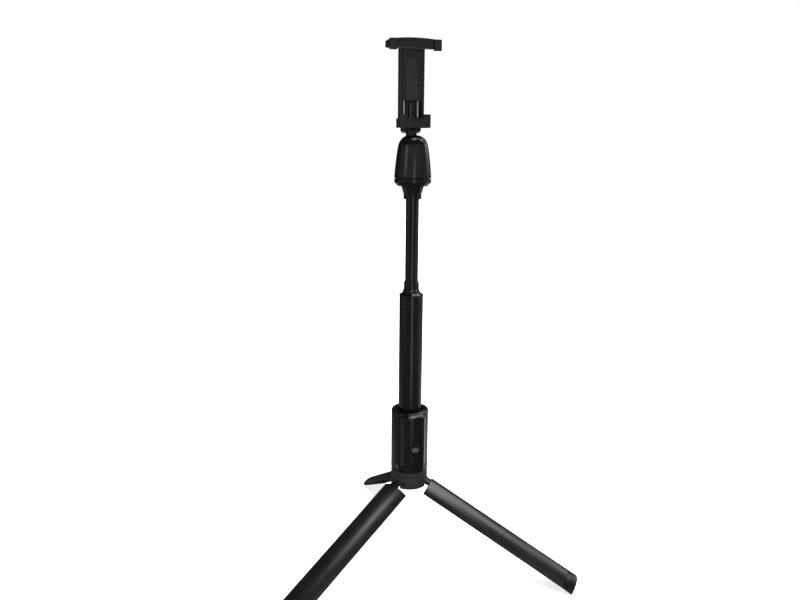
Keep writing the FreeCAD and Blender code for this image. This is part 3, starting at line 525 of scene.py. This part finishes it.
def wall(stations, outer, inner, sector, corner=0.7):
    """A curved wall lofted through (height, inset) stations."""
    return loft([[(p.x, p.y, height) for p in wall_section(outer, inner, sector, inset, corner)]
                 for height, inset in stations])


def foot_outline(inset):
    """The round segment that the rubber foot fills, inside the leg's wall."""
    radius = LEG_INNER_R - 0.05 - inset
    reach = math.degrees(math.acos((FOOT_CHORD + inset) / radius))
    return arc_points(radius, -90 - reach, -90 + reach, 36)


LEG_TOP = -PIVOT_DROP - LEG_START
SEAM = -PIVOT_DROP - LEG_LENGTH + CAP_LENGTH
LEG_FOOT = -PIVOT_DROP - LEG_LENGTH
for side, azimuth in LEG_AZIMUTHS.items():
    body = "leg_" + side
    pose = leg_pose(azimuth, splay)
    tube = wall([(LEG_TOP, 0.5), (LEG_TOP - 0.2, 0.2), (LEG_TOP - 0.6, 0.0), (SEAM + 0.45, 0.0),
                 (SEAM + 0.2, 0.08), (SEAM + 0.04, 0.3)], HANDLE_R, LEG_INNER_R, LEG_SECTOR)
    tongue = prism(rounded([(-4, -15.5, 0.5), (4, -15.5, 0.5), (4, -11.9, 0.8), (-4, -11.9, 0.8)], 4),
                   -PIVOT_DROP - 16, -PIVOT_DROP)
    eye = disc(2.4, "yz", -4, 4, (-PIVOT_R, -PIVOT_DROP), 0.3)
    bore = disc(1.15, "yz", -6, 6, (-PIVOT_R, -PIVOT_DROP), 0.0, 32)
    piece("leg_wall_" + side, joined(tube, boolean(boolean(tongue, eye, operation="UNION"), bore)), body,
          "leg_satin", ["leg_shell_" + side], pose=pose, smooth=30)
    cap = wall([(SEAM - 0.04, 0.3), (SEAM - 0.2, 0.08), (SEAM - 0.45, 0.0), (LEG_FOOT + 1.1, 0.0),
                (LEG_FOOT + 0.45, 0.25), (LEG_FOOT + 0.12, 0.6), (LEG_FOOT, 1.0)],
               HANDLE_R, LEG_INNER_R, LEG_SECTOR)
    liner = wall([(LEG_FOOT + 19, 0.3), (LEG_FOOT + 18.4, 0.0), (LEG_FOOT + 6, 0.0)],
                 LEG_INNER_R + 0.02, 12.2, 104.0, 0.3)
    piece("leg_end_" + side, joined(cap, liner), body, "cap_plastic", ["foot_cap_" + side], pose=pose,
          smooth=30)
    levels = [(LEG_FOOT - 0.8, 0.9), (LEG_FOOT - 0.6, 0.35), (LEG_FOOT - 0.2, 0.05), (LEG_FOOT + 6, 0.0)]
    pad = loft([[(x, y, height) for x, y in foot_outline(inset)] for height, inset in levels])
    grooves = [prism(block_outline(-20, 20, y - 0.3, y + 0.3), LEG_FOOT - 2, LEG_FOOT - 0.35)
               for y in (-8.2, -9.8, -11.4, -13.0)]
    piece("leg_foot_" + side, boolean(pad, *grooves), body, "rubber", ["foot_pad_" + side], pose=pose,
          smooth=30)
    pin = disc(1.1, "yz", -6, 6, (-PIVOT_R, -PIVOT_DROP), 0.25, 32)
    piece("hinge_pin_" + side, pin, "handle", "steel", ["leg_pin_" + side], pose=leg_pose(azimuth, 0))

# ---------------------------------------------------------------- telescope
tube_low, tube_high = node_box("main_tube")
TUBE_BORE_R, TUBE_R, FLANGE_R, NOSE_HOLE_R = 9.4, 10.25, 10.45, 7.27
piece("main_tube_wall", lathe([
    (TUBE_BORE_R, tube_low.z), (TUBE_R, tube_low.z, 0.2), (TUBE_R, tube_high.z, 0.12),
    (TUBE_BORE_R, tube_high.z)], 144), "stage_one", "tube_satin", ["main_tube"])
cap_low, cap_high = node_box("main_tube_cap")
FLANGE_TOP = 103.9
piece("tube_collar", lathe([
    (NOSE_HOLE_R, cap_low.z), (TUBE_BORE_R, cap_low.z), (TUBE_BORE_R, tube_high.z + 0.03),
    (FLANGE_R, tube_high.z + 0.03, 0.25), (FLANGE_R, FLANGE_TOP, 0.35), (9.7, FLANGE_TOP + 0.15, 0.4),
    (7.9, cap_high.z, 0.35), (NOSE_HOLE_R, cap_high.z, 0.1)],
    steps=5, dents=(tube_high.z + 0.35, FLANGE_TOP - 0.3, 60, 0.12)), "stage_one", "grip_gloss",
    ["main_tube_cap"])


def stage(name, node, radius, bore, lip_r, lip, guide_r, top_fillet):
    """A thin tube whose rolled lip rounds over to the next stage."""
    low, high = node_box(node)
    lip_foot = high.z - lip
    section = [(bore, low.z), (radius, low.z, 0.1), (radius, lip_foot - 0.25), (lip_r, lip_foot, 0.15),
               (lip_r, high.z - top_fillet, 0.3), (guide_r + 0.25, high.z, 0.2), (guide_r, high.z),
               (guide_r, high.z - 6), (bore, high.z - 6)]
    return piece(name, lathe(section, 128, 5), node.replace("_tube", ""), "stage_gloss", [node])


stage("stage_two_wall", "stage_two_tube", 7.2, 6.75, 7.35, 2.4, 6.47, 0.6)
stage("stage_three_wall", "stage_three_tube", 6.4, 5.95, 6.55, 6.8, 5.67, 0.9)
rod_low, rod_high = node_box("rod_tube")
ROD_BORE_R, ROD_R = 5.1, 5.6
piece("rod_wall", lathe([(ROD_BORE_R, rod_low.z), (ROD_R, rod_low.z, 0.15), (ROD_R, rod_high.z),
                         (ROD_BORE_R, rod_high.z)], 128), "top_rod", "stage_gloss", ["rod_tube"])

# ---------------------------------------------------------------- swivel head
neck_low, neck_high = node_box("neck_collar")
piece("neck_sleeve", lathe([(ROD_R, neck_low.z), (7.4, neck_low.z, 0.6), (7.4, neck_low.z + 4.2, 2.0),
                            (9.4, neck_high.z), (ROD_R, neck_high.z)], 128), "top_rod", "grip_gloss",
      ["neck_collar"])
base_low, base_high = node_box("swivel_base")
BASE_TOP_Z = 202.0
piece("swivel_disc", lathe([(0, base_low.z), (12.3, base_low.z, 0.8), (15.3, base_low.z + 3, 0.9),
                            (15.3, BASE_TOP_Z, 0.35), (5.0, BASE_TOP_Z), (5.0, base_high.z, 0.3),
                            (0, base_high.z)], 128), "top_rod", "grip_gloss", ["swivel_base"])

dome_low, dome_high = node_box("head_dome")
DOME_SIDE = [(15.4, 202.6), (15.22, 205.5), (14.85, 209.5), (14.35, 214.5), (13.65, 220.5), (12.85, 226.0),
             (12.1, 229.6), (10.9, 232.3), (9.2, 234.5), (7.2, 236.0), (4.8, 236.9), (2.4, 237.25)]


def smooth_line(points, parts=5):
    """A Catmull-Rom curve through the points."""
    ends = [points[0], *points, points[-1]]
    line = []
    for a, b, c, d in zip(ends, ends[1:], ends[2:], ends[3:]):
        for part in range(parts):
            t = part / parts
            line.append(tuple(0.5 * (2 * b[k] + (c[k] - a[k]) * t
                                     + (2 * a[k] - 5 * b[k] + 4 * c[k] - d[k]) * t * t
                                     + (3 * b[k] - a[k] - 3 * c[k] + d[k]) * t ** 3) for k in (0, 1)))
    return line + [points[-1]]


dome_line = smooth_line(DOME_SIDE)
dome = lathe([(0, 213), (5.07, 213), (5.07, dome_low.z), (15.0, dome_low.z)] + dome_line[1:]
             + [(0, dome_high.z)], 128)
SLOT_HALF, SLOT_FRONT, SLOT_FLOOR = 4.0, -3.8, 214.0
PIN = (5.0, 224.0)
slot_cut = prism(rounded([(SLOT_FRONT, SLOT_FLOOR, 0.5), (22, SLOT_FLOOR), (22, 245), (SLOT_FRONT, 245)], 4),
                 -SLOT_HALF, SLOT_HALF, "yz")
pin_cut = disc(1.55, "yz", -10.6, 20, PIN, 0.0, 32)
piece("dome_shell", boolean(dome, slot_cut, pin_cut), "head", "grip_gloss", ["head_dome"], 0.3, 30)
piece("tilt_axle", disc(1.5, "yz", -10.5, 10.5, PIN, 0.25, 32), "head", "steel", ["tilt_pin"])

# ---------------------------------------------------------------- phone clamp
ARM_HALF = 3.4
eye = disc(4.6, "yz", -ARM_HALF, ARM_HALF, PIN, 0.4, 64)
web = prism(rounded([(0.4, PIN[1]), (9.6, PIN[1]), (11.5, 237.0, 3.0), (11.5, 242.0), (1.4, 242.0, 0.6)], 5),
            -ARM_HALF, ARM_HALF, "yz")
flange = prism(block_outline(-8, 8, 4.5, 12.5, 1.2), 240.2, 243.0)
arm = boolean(boolean(eye, web, flange, operation="UNION"), disc(1.56, "yz", -9, 9, PIN, 0.0, 32))
piece("arm_body", arm, "clamp", "clamp_plastic", ["tilt_arm"], 0.3, 30)

house_low, house_high = node_box("clamp_housing")
HALF, FRONT, BACK = 10.5, 5.5, 12.5
WALL, FLOOR, BLOCK_TOP = 2.2, 1.6, 251.0
LOWER_HALF, HOOK_FRONT, HOOK_BACK, HOOK_WIDTH = 13, -7, -3.2, 5.9
RAIL_X, RAIL_Y, SCREW_X, SCREW_Y = 6, 9.3, 5.6, 9.0
channel = prism(rounded([(-HALF, FRONT, 0.3), (HALF, FRONT, 0.3), (HALF, BACK, 1.7),
                         (-HALF, BACK, 1.7)], 5), house_low.z, house_high.z)
inner = prism(block_outline(-HALF + WALL, HALF - WALL, FRONT - 3, BACK - FLOOR),
              BLOCK_TOP, house_high.z + 3)
bridge = prism(block_outline(-HALF + WALL - 0.2, HALF - WALL + 0.2, 7.8, BACK - FLOOR + 0.2),
               house_high.z - 4, house_high.z)
lower = prism(rounded([
    (-LOWER_HALF, HOOK_FRONT, 1.3), (LOWER_HALF, HOOK_FRONT, 1.3), (LOWER_HALF, 6.5, 1.2), (HALF, 9.5),
    (-HALF, 9.5), (-LOWER_HALF, 6.5, 1.2)], 5), house_low.z, 250.4)


def hook_spans(half):
    """Across a jaw, where its left and right hooks start and end, and whether each is the left one."""
    return ((-half, -half + HOOK_WIDTH, True), (half - HOOK_WIDTH, half, False))


hooks = [prism(rounded([(x0, HOOK_FRONT, 1.2 if left else 0.6), (x1, HOOK_FRONT, 0.6 if left else 1.2),
                        (x1, HOOK_BACK, 0.4), (x0, HOOK_BACK, 0.4)], 4), house_low.z + 0.4, 253.6)
         for x0, x1, left in hook_spans(LOWER_HALF)]
rails = [disc(1.2, "xy", 246, 310, (x, RAIL_Y), 0.0, 32) for x in (-RAIL_X, RAIL_X)]
housing = boolean(channel, inner)
housing = boolean(housing, bridge, lower, *hooks, operation="UNION")
housing = boolean(housing, *rails)
piece("clamp_body", housing, "clamp", "clamp_plastic", ["clamp_housing"], 0.28, 30)

for side, x in (("left", -RAIL_X), ("right", RAIL_X)):
    piece("rail_" + side, disc(1.19, "xy", 246, 305.4, (x, RAIL_Y), 0.3, 40), "clamp", "chrome",
          ["guide_rails"] if side == "left" else [])
screw_parts = []
for x in (-SCREW_X, SCREW_X):
    screw_parts.append(recessed_head(2.2, 238.8, 240.2, (x, SCREW_Y), "xy", 0.8, 1.0))
    screw_parts.append(disc(1.2, "xy", 240.1, 245.5, (x, SCREW_Y), 0.1, 24))
piece("clamp_screw_pair", joined(*screw_parts), "clamp", "steel", ["clamp_screws"])


def coil(radius, wire, low, high, turns, centre, sides=10, steps=28):
    """A close-wound helical spring."""
    rings = []
    count = int(turns * steps)
    for index in range(count + 1):
        angle = 2 * math.pi * index / steps
        share = index / count
        height = low + (high - low) * share
        way = Vector((math.cos(angle), math.sin(angle), 0))
        middle = Vector((centre[0], centre[1], height)) + way * radius
        rings.append([middle + way * (wire * math.cos(a)) + Vector((0, 0, wire * math.sin(a)))
                      for a in (2 * math.pi * k / sides for k in range(sides))])
    return loft(rings)


spring_low, spring_high = node_box("clamp_spring")
spring = piece("spring_coil", coil(1.12, 0.3, spring_low.z + 0.3, spring_high.z - 0.3, 19, (0, RAIL_Y)), None,
               "steel", ["clamp_spring"])
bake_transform(spring)


def ribbed_pad(left, right, front, back, low, high, up, ribs=9):
    """A rubber seat with soft ribs across the face that points up (1) or down (-1)."""
    base, tip = (low, high) if up > 0 else (high, low)
    level = tip - 0.35 * up
    ends = sorted((base, level))
    slab = prism(block_outline(left, right, front, back, 0.8), *ends)
    pitch = (right - left - 1.2) / ribs
    strips = [prism(rounded([(left + 0.6 + pitch * k + pitch * 0.2, level - 0.2 * up),
                             (left + 0.6 + pitch * (k + 1) - pitch * 0.2, level - 0.2 * up),
                             (left + 0.6 + pitch * (k + 1) - pitch * 0.2, tip, 0.3),
                             (left + 0.6 + pitch * k + pitch * 0.2, tip, 0.3)], 4), front + 0.5, back - 0.5,
                    "xz") for k in range(ribs)]
    return joined(slab, *strips)


pad_low, pad_high = node_box("lower_jaw_pad")
piece("lower_seat", ribbed_pad(pad_low.x, pad_high.x, pad_low.y, pad_high.y, pad_low.z, pad_high.z, 1),
      "clamp", "rubber", ["lower_jaw_pad"], smooth=30)

JAW_HALF = node_box("upper_jaw")[1].x
UNDER, END_TOP, ARCH_R = 305.8, 311.0, 152.0
arch = math.degrees(math.asin(JAW_HALF / ARCH_R))
arch_rise = ARCH_R * math.cos(math.radians(arch))
top = arc_points(ARCH_R, 90 - arch, 90 + arch, 32, (0, END_TOP - arch_rise))
bar_line = rounded([(-JAW_HALF, UNDER, 1.0), (JAW_HALF, UNDER, 1.0), (JAW_HALF, END_TOP, 1.4)]
                   + top[1:-1] + [(-JAW_HALF, END_TOP, 1.4)], 6)
bar = prism(bar_line, -3.7, BACK, "xz")
corner_cut = [prism(rounded([(s * (JAW_HALF + 2), 14.0), (s * (JAW_HALF - 2.2), 14.0),
                             (s * JAW_HALF, 11.0), (s * (JAW_HALF + 2), 11.0)], 3), 300, 316)
              for s in (-1, 1)]
bar = boolean(bar, *corner_cut)
jaw_hooks = [prism(rounded([(x0, HOOK_FRONT, 1.4 if left else 0.7), (x1, HOOK_FRONT, 0.7 if left else 1.4),
                            (x1, -2.9, 0.2), (x0, -2.9, 0.2)], 5), 302.9, 311.2)
             for x0, x1, left in hook_spans(JAW_HALF)]
PLATE_HALF, PLATE_FOOT = 8.1, 264.5
plate = prism(block_outline(-PLATE_HALF, PLATE_HALF, PLATE_FOOT, 306.8), 5.3, 7.6, "xz")
carriage = prism(block_outline(-PLATE_HALF, PLATE_HALF, 6.6, 10.7), PLATE_FOOT, 269.0)
bores = [disc(1.27, "xy", 263, 271, (x, RAIL_Y), 0.0, 32) for x in (-RAIL_X, RAIL_X)]
jaw = boolean(boolean(bar, plate, carriage, *jaw_hooks, operation="UNION"), *bores)
piece("jaw_body", jaw, "jaw", "clamp_plastic", ["upper_jaw"], 0.45, 30)

face_low, face_high = node_box("jaw_face_pad")
strip = loft([[(x, depth, z) for x, z in block_outline(face_low.x + inset, face_high.x - inset,
                                                       face_low.z + inset, face_high.z - inset, 1.3)]
              for depth, inset in ((5.35, 0.0), (5.15, 0.0), (4.78, 0.35), (4.64, 0.75), (4.6, 1.2))])
piece("face_strip", strip, "jaw", "rubber", ["jaw_face_pad"], smooth=40)
boss = disc(3.1, "xz", 5.05, 5.4, (0, 302.0), 0.18, 48)
piece("plate_boss", boss, "jaw", "clamp_plastic")

up_low, up_high = node_box("upper_jaw_pad")
piece("upper_seat", ribbed_pad(up_low.x, up_high.x, up_low.y, up_high.y, up_low.z, up_high.z, -1, 11), "jaw",
      "rubber", ["upper_jaw_pad"], smooth=30)

# ---------------------------------------------------------------- CAD nodes that stay as they are
slot_of = {part["node"]: part["material_slot"] for part in frame["record"]["subparts"]}
for name, node in frame["nodes"].items():
    if not node.hide_render:
        node.data.materials.clear()
        node.data.materials.append(FINISHES[slot_of[name]])
        node.data.polygons.foreach_set("use_smooth", [True] * len(node.data.polygons))
        node.data.set_sharp_from_angle(angle=math.radians(25))

# ---------------------------------------------------------------- floor, light and camera
CAMERA_AZIMUTH = -14.0

floor_mesh = bmesh.new()
FLOOR_HALF, FLOOR_DROP = 4.0, 0.0002
corners = [floor_mesh.verts.new((x * FLOOR_HALF, y * FLOOR_HALF, -FLOOR_DROP))
           for x, y in ((-1, -1), (1, -1), (1, 1), (-1, 1))]
floor_mesh.faces.new(corners)
mesh = bpy.data.meshes.new("floor")
floor_mesh.to_mesh(mesh)
floor = bpy.data.objects.new("floor", mesh)
scene.collection.objects.link(floor)
floor_material = bpy.data.materials.new("floor")
floor_material.use_nodes = True
nodes = Nodes(floor_material.node_tree)
where = nodes.add("ShaderNodeTexCoord").outputs["Object"]
paper = nodes.blend(nodes.noise(where, 30.0), (0.90, 0.90, 0.90), (0.92, 0.92, 0.92))
matt = nodes.add("ShaderNodeBsdfDiffuse", {"Color": paper})
# the floor also glows, so that the shadows of the legs stay faint
glow_sheet = nodes.add("ShaderNodeEmission", {"Color": paper, "Strength": 0.85})
sheet = nodes.add("ShaderNodeAddShader", {0: matt.outputs[0], 1: glow_sheet.outputs[0]})
nodes.add("ShaderNodeOutputMaterial", {"Surface": sheet.outputs[0]})
mesh.materials.append(floor_material)
floor.visible_glossy = False

# Soft light panels round the stick, as (first and last azimuth, first and last elevation, softness,
# radiance), with azimuths to the right of the camera's side, all in degrees
PANELS = [
    (3, 17, -22, 12, 3, 1.0),
    (64, 136, -20, 25, 10, 0.26),
    (-98, -52, -12, 20, 8, 0.22),
    (-160, -70, -42, -18, 8, 0.20),
    (100, 170, -42, -18, 8, 0.65),
    (100, 176, 36, 76, 10, 2.6),
    (106, 136, 6, 24, 6, 1.5),
    (-30, 200, 73, 100, 5, 4.0),
    (-40, 60, 2, 35, 10, 0.34),
    (-60, 60, -70, -6, 10, 0.09),
    (-58, -40, 6, 28, 5, 1.5),
]
AMBIENT = 0.045
BACKDROP = 1.02
world = bpy.data.worlds.new("studio")
scene.world = world
world.use_nodes = True
nodes = Nodes(world.node_tree)


def soft_step(value, edge, softness, rising):
    """A smooth step in degrees from 0 to 1 (rising) or from 1 to 0."""
    return nodes.add("ShaderNodeMapRange", {
        "Value": value, "From Min": edge - softness, "From Max": edge + softness,
        "To Min": 0.0 if rising else 1.0, "To Max": 1.0 if rising else 0.0},
        interpolation_type="SMOOTHSTEP").outputs["Result"]


def combine(operation, first, second=0.0):
    return nodes.add("ShaderNodeMath", {0: first, 1: second}, operation=operation).outputs["Value"]


direction = nodes.add("ShaderNodeTexCoord").outputs["Generated"]
facing = nodes.add("ShaderNodeVectorRotate", {"Vector": direction, "Angle": math.radians(-CAMERA_AZIMUTH)},
                   rotation_type="Z_AXIS").outputs["Vector"]
parts = nodes.add("ShaderNodeSeparateXYZ", {"Vector": facing}).outputs
azimuth_of = combine("DEGREES", combine("ARCTAN2", parts["X"], combine("MULTIPLY", parts["Y"], -1.0)))
elevation_of = combine("DEGREES", combine("ARCSINE", parts["Z"]))
total = None
for left, right, low, high, softness, radiance in PANELS:
    glow = combine("MULTIPLY", soft_step(azimuth_of, left, softness, True),
                   soft_step(azimuth_of, right, softness, False))
    glow = combine("MULTIPLY", glow, soft_step(elevation_of, low, softness, True))
    glow = combine("MULTIPLY", glow, soft_step(elevation_of, high, softness, False))
    glow = combine("MULTIPLY", glow, radiance)
    total = combine("ADD", glow, AMBIENT if total is None else total)
studio = nodes.add("ShaderNodeBackground", {"Color": (1, 1, 1, 1), "Strength": total})
white = nodes.add("ShaderNodeBackground", {"Color": (1, 1, 1, 1), "Strength": BACKDROP})
seen = nodes.add("ShaderNodeLightPath").outputs["Is Camera Ray"]
both = nodes.add("ShaderNodeMixShader", {0: seen, 1: studio.outputs[0], 2: white.outputs[0]})
nodes.add("ShaderNodeOutputWorld", {"Surface": both.outputs[0]})

overhead = bpy.data.lights.new("overhead", "SUN")
overhead.energy = 4.2
overhead.angle = math.radians(70)
overhead_lamp = bpy.data.objects.new("overhead", overhead)
overhead_lamp.visible_glossy = False
scene.collection.objects.link(overhead_lamp)

camera_data = bpy.data.cameras.new("camera")
camera_data.lens, camera_data.sensor_width = 31.91, 36.0
camera_data.clip_start, camera_data.clip_end = 0.01, 50.0
camera = bpy.data.objects.new("camera", camera_data)
scene.collection.objects.link(camera)
CAMERA_SPOT = Vector((-153.755, -576.745, 233.30))
VIEW_WAY = Vector((0.23598, 0.94646, -0.22033))
forward = VIEW_WAY.normalized()
level = forward.cross(Vector((0, 0, 1))).normalized()
upward = level.cross(forward)
ROLL = math.radians(0.493)
right = level * math.cos(ROLL) + upward * math.sin(ROLL)
turn = Matrix((right, right.cross(forward), -forward)).transposed()
camera.matrix_world = Matrix.Translation(TO_ROW @ CAMERA_SPOT) @ turn.to_4x4()
scene.camera = camera
scene.view_settings.view_transform = "Standard"
